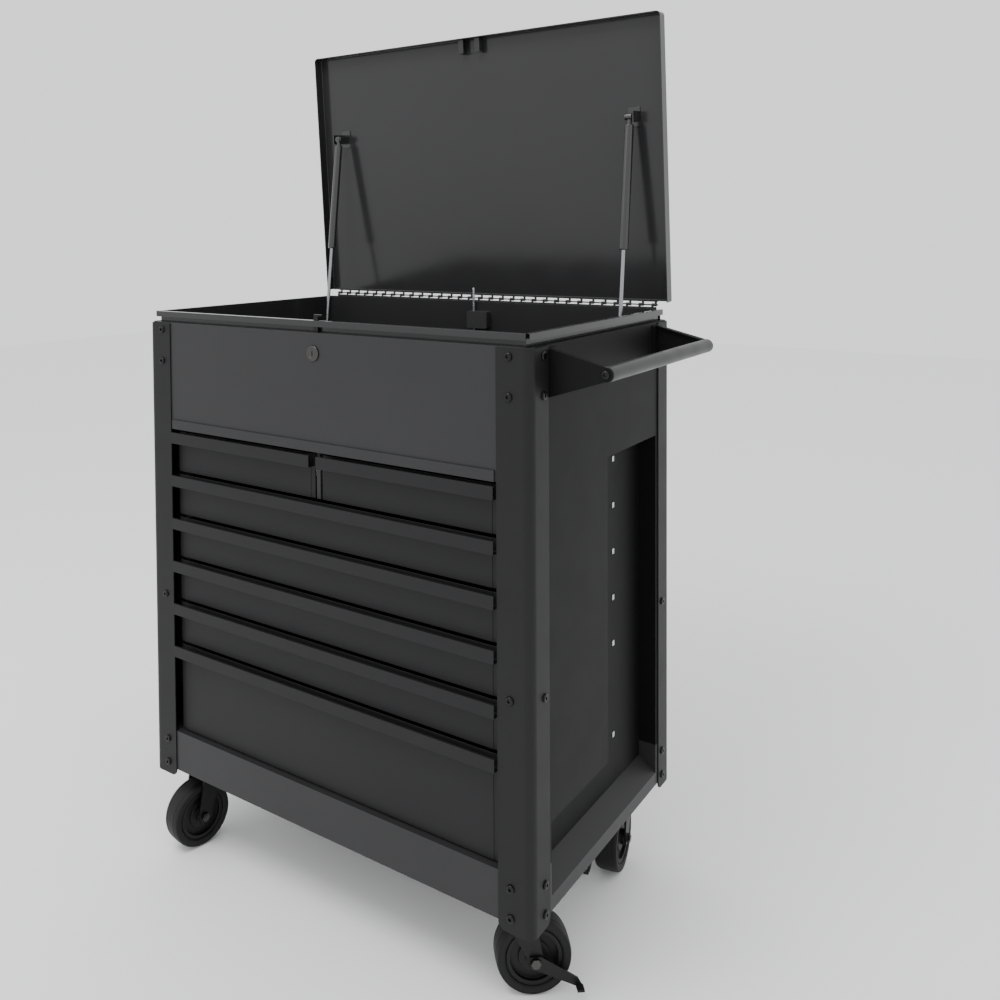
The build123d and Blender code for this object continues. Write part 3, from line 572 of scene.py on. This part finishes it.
@dataclass(frozen=True)
class Casters(Assembly):
    """Four swivel casters, the right pair with brakes."""

    corners: tuple[str, ...] = ("front_left", "front_right", "rear_left", "rear_right")
    braked: tuple[str, ...] = ("front_right", "rear_right")
    core_radius_mm: float = 47.0
    tyre_width_mm: float = 45.0
    squareness: float = 4.0  # power of the tyre's rounded section, where 2 is an ellipse
    section_points: int = 96
    wall_share: float = 0.55  # how much of the wall's height is sunk
    wall_sink_mm: float = 0.9
    tread_share: float = 0.9  # the tread is what lies further out than this
    groove_share: float = 0.55  # how far from the middle to the shoulder a groove is
    groove_half_share: float = 0.06  # half a groove's width, by the same measure
    plate_edge_mm: float = 0.6
    pedal_edge_mm: float = 0.5
    core_edge_mm: float = 0.8

    def build(self) -> None:
        """Dress forks, plates, pedals, wheel centres and tyres."""
        self.dress("caster_plates", FORK_PAINT, self.plate_edge_mm)
        for corner in self.braked:
            self.dress("brake_pedal_" + corner, FORK_PAINT, self.pedal_edge_mm)
        for corner in self.corners:
            fork = "caster_fork_" + corner
            self.dress(fork, FORK_PAINT, self.plate_edge_mm, small=DARK_NICKEL)
            self.dress("wheel_" + corner, MOULDED_NYLON, self.core_edge_mm)
            self.tyre(corner)

    def tyre(self, corner: str) -> None:
        """Turn one tyre: a flat tread, round shoulders, and a stepped wall on each side.

        The section is a rounded box, |across|^p + |out|^p = 1 with p the squareness, its walls
        sunk between two radii and its tread with a narrow groove near each shoulder.

        Args:
            corner: Which caster it belongs to.
        """
        wheel = "wheel_" + corner
        low, high = (np.array(corner_point) for corner_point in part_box("tyre_" + corner))
        centre = (low + high) / 2
        radius = (high[2] - low[2]) / 2
        spin = next(joint for joint in frame["joints"] if joint["name"] == wheel + "_spin")
        heading = np.array(spin["axis"], float)
        axis = Vector(heading / np.linalg.norm(heading))
        inner = self.core_radius_mm * MM
        half = self.tyre_width_mm * MM / 2
        angle = np.linspace(0, 2 * np.pi, self.section_points, endpoint=False)
        power = 2 / self.squareness
        across = np.sign(np.cos(angle)) * np.abs(np.cos(angle)) ** power * half
        out = np.sign(np.sin(angle)) * np.abs(np.sin(angle)) ** power
        middle, reach = (radius + inner) / 2, (radius - inner) / 2
        spoke = middle + out * reach
        on_wall = np.abs(out) < self.wall_share
        across = np.where(on_wall, across - np.sign(across) * self.wall_sink_mm * MM, across)
        from_groove = np.abs(np.abs(across) - self.groove_share * half)
        groove = (out > self.tread_share) & (from_groove < half * self.groove_half_share)
        spoke = np.where(groove, spoke - self.wall_sink_mm * MM, spoke)
        section = np.column_stack((across, spoke))
        mesh = turned(section, Vector(centre), axis, "tyre_" + corner + "_shape")
        self.add("tyre_" + corner + "_piece", mesh, TREAD_RUBBER, wheel, "tyre_" + corner)


# ---------------------------------------------------------------- studio
@dataclass(frozen=True)
class SoftBox:
    """One square soft box."""

    name: str
    at: tuple[float, float, float]  # where it hangs
    aim: tuple[float, float, float]  # what it points at
    size: float  # its side, metres
    watts: float

    def hang(self) -> None:
        """Put the soft box in the scene, turned to what it points at."""
        data = bpy.data.lights.new(self.name, "AREA")
        data.shape, data.size, data.energy = "SQUARE", self.size, self.watts
        lamp = bpy.data.objects.new(self.name, data)
        lamp.location = self.at
        toward = Vector(self.aim) - Vector(self.at)
        lamp.rotation_euler = toward.to_track_quat("-Z", "Y").to_euler()
        bpy.context.scene.collection.objects.link(lamp)


@dataclass(frozen=True)
class Studio:
    """Pale floor, soft boxes and the camera."""

    eye: tuple[float, float, float] = (1.1694, -1.5769, 1.2597)
    turn_degrees: float = 35.1046
    dip_degrees: float = 1.8054
    roll_degrees: float = 0.4223
    lens_mm: float = 35.059
    sensor_mm: float = 36.0
    shift: tuple[float, float] = (0.0701, -0.2382)
    near_and_far: tuple[float, float] = (0.05, 60.0)
    floor_half: float = 9.0
    floor_colour: tuple[float, float, float, float] = (0.94, 0.94, 0.945, 1.0)
    floor_roughness: float = 0.9
    floor_shine: float = 0.1
    sky: float = 1.35
    sky_colour: tuple[float, float, float, float] = (0.98, 0.985, 0.99, 1.0)
    boxes: tuple[SoftBox, ...] = (
        SoftBox("key", (-2.2, -3.6, 3.4), (0.0, 0.0, 0.7), 2.4, 18),
        SoftBox("fill", (3.6, -0.6, 2.2), (0.2, 0.0, 0.6), 2.2, 3),
        SoftBox("top", (-0.2, -1.7, 3.6), (0.0, -0.2, 0.6), 1.3, 62),
    )

    def build(self) -> None:
        """Set the camera, the floor and the lights."""
        self.camera()
        self.floor()
        for box in self.boxes:
            box.hang()
        world = bpy.data.worlds.new("studio")
        bpy.context.scene.world = world
        world.use_nodes = True
        back = world.node_tree.nodes["Background"]
        back.inputs["Color"].default_value = self.sky_colour
        back.inputs["Strength"].default_value = self.sky

    def camera(self) -> None:
        """Place the camera at its eye, turned, dipped and rolled, with its framing shift."""
        data = bpy.data.cameras.new("camera")
        data.lens, data.sensor_width = self.lens_mm, self.sensor_mm
        data.shift_x, data.shift_y = self.shift
        data.clip_start, data.clip_end = self.near_and_far
        camera = bpy.data.objects.new("camera", data)
        camera.location = self.eye
        tilt = math.radians(90 - self.dip_degrees)
        roll = math.radians(self.roll_degrees)
        camera.rotation_euler = (tilt, roll, math.radians(self.turn_degrees))
        bpy.context.scene.collection.objects.link(camera)
        bpy.context.scene.camera = camera

    def floor(self) -> None:
        """Lay a pale matt floor."""
        far = self.floor_half
        corners = [(-far, -far, 0), (far, -far, 0), (far, far, 0), (-far, far, 0)]
        mesh = bpy.data.meshes.new("floor")
        mesh.from_pydata(corners, [], [(0, 1, 2, 3)])
        floor = bpy.data.objects.new("floor", mesh)
        bpy.context.scene.collection.objects.link(floor)
        paint = bpy.data.materials.new("pale_floor")
        paint.use_nodes = True
        shader = paint.node_tree.nodes["Principled BSDF"]
        shader.inputs["Base Color"].default_value = self.floor_colour
        shader.inputs["Roughness"].default_value = self.floor_roughness
        shader.inputs["Specular IOR Level"].default_value = self.floor_shine
        mesh.materials.append(paint)


def main() -> None:
    """Build every sub-assembly, then the studio."""
    logging.basicConfig(level=logging.INFO, format="%(message)s")
    for part in (Cabinet(), Drawers(), Top(), Casters()):
        part.build()
    Studio().build()


if __name__ == "__main__":
    main()
